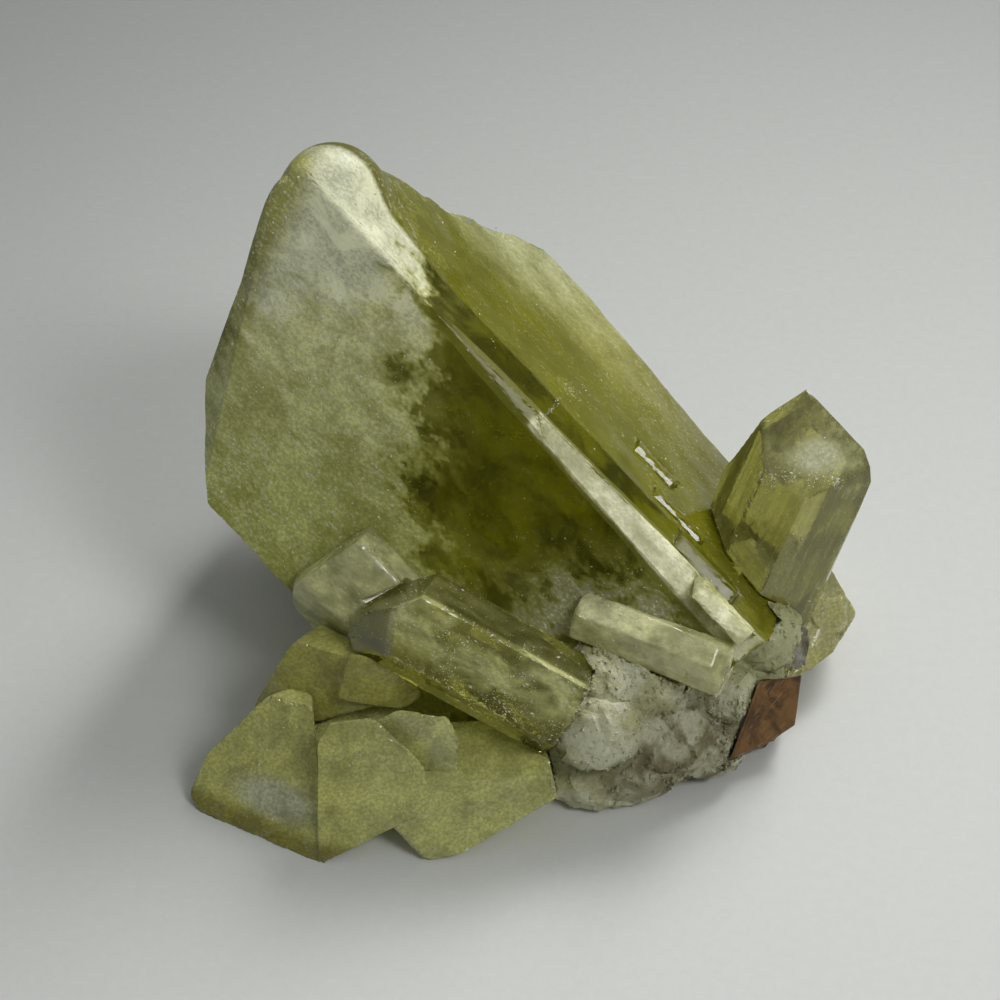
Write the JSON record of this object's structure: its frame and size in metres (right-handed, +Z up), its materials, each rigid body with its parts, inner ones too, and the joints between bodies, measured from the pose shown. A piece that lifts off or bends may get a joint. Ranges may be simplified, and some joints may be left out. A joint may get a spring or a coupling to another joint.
{
  "type": "brazilianite crystal cluster",
  "caption": "Natural cluster of stout yellow-green brazilianite crystals, one large and leaning, grown on whitish matrix with brown mica; rests on its flat broken base.",
  "frame": {"origin": "on the plane it rests on, under the middle of its bounding box", "axes": "+Z up, +X to the viewer's right along the cluster's length, +Y away from the viewer"},
  "size_m": [0.0662, 0.063, 0.0498],
  "materials": {
    "clear_crystal": "clear to cloudy yellow-green crystal, glassy faces",
    "frosted_crystal": "dull, frosted pale yellow-green crystal",
    "matrix": "rough sugary whitish rock with olive and brown stains",
    "mica": "reddish brown mica leaves with a pearly sheen"
  },
  "bodies": {
    "root": {"main_crystal": "clear_crystal", "standing_crystal": "clear_crystal", "lying_crystal": "clear_crystal", "half_buried_crystal": "clear_crystal", "corner_crystal": "clear_crystal", "wedge_crystal": "frosted_crystal", "foot_crystals": "frosted_crystal", "side_crystal": "frosted_crystal", "matrix": "matrix", "mica_book": "mica", "mica_sheets": "mica"}
  },
  "joints": []
}
